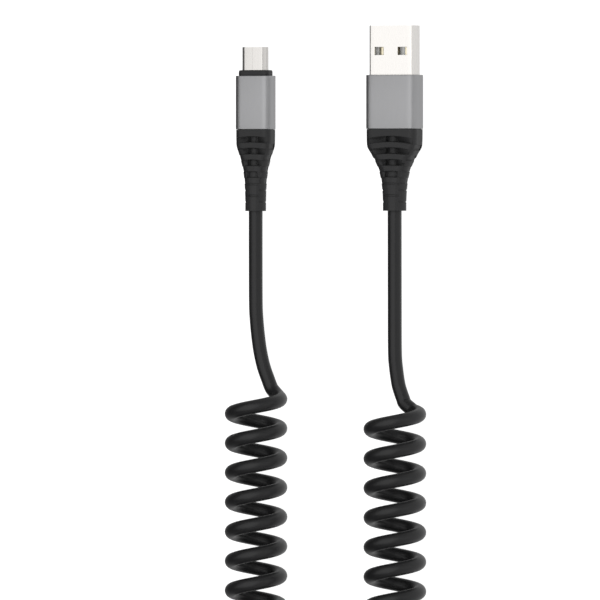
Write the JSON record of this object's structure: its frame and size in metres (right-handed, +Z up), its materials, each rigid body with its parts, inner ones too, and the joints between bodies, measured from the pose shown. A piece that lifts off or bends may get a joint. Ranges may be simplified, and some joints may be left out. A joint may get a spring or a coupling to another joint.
{
  "type": "coiled charging cable",
  "caption": "Coiled black charging cable with a type A plug and a micro B plug in metal sleeves with slotted boots, lying in a U.",
  "frame": {"origin": "bottom centre of the two plugs' bounding box, on the floor that the cable lies on", "axes": "+Z up from the floor, +Y the way both plugs point, +X from the micro B plug towards the type A plug"},
  "size_m": [0.0536, 0.1769, 0.0155],
  "materials": {
    "plated_steel": "bright nickel-plated sheet steel",
    "insulator_plastic": "matt moulded plastic",
    "gilt_contact": "gold-plated contact strip",
    "anodised_aluminium": "satin grey anodised",
    "black_elastomer": "matt black moulded elastomer",
    "cord_jacket": "semi-matt black cord jacket"
  },
  "bodies": {
    "root": {"type_a_shell": "plated_steel", "type_a_insulator": "insulator_plastic", "type_a_contact_1": "gilt_contact", "type_a_contact_2": "gilt_contact", "type_a_contact_3": "gilt_contact", "type_a_contact_4": "gilt_contact", "type_a_sleeve": "anodised_aluminium", "type_a_overmould": "black_elastomer", "type_a_lead": "cord_jacket", "micro_b_shell": "plated_steel", "micro_b_insulator": "insulator_plastic", "micro_b_contact_1": "gilt_contact", "micro_b_contact_2": "gilt_contact", "micro_b_contact_3": "gilt_contact", "micro_b_contact_4": "gilt_contact", "micro_b_contact_5": "gilt_contact", "micro_b_sleeve": "anodised_aluminium", "micro_b_overmould": "black_elastomer", "micro_b_lead": "cord_jacket", "coil": "cord_jacket"}
  },
  "joints": []
}
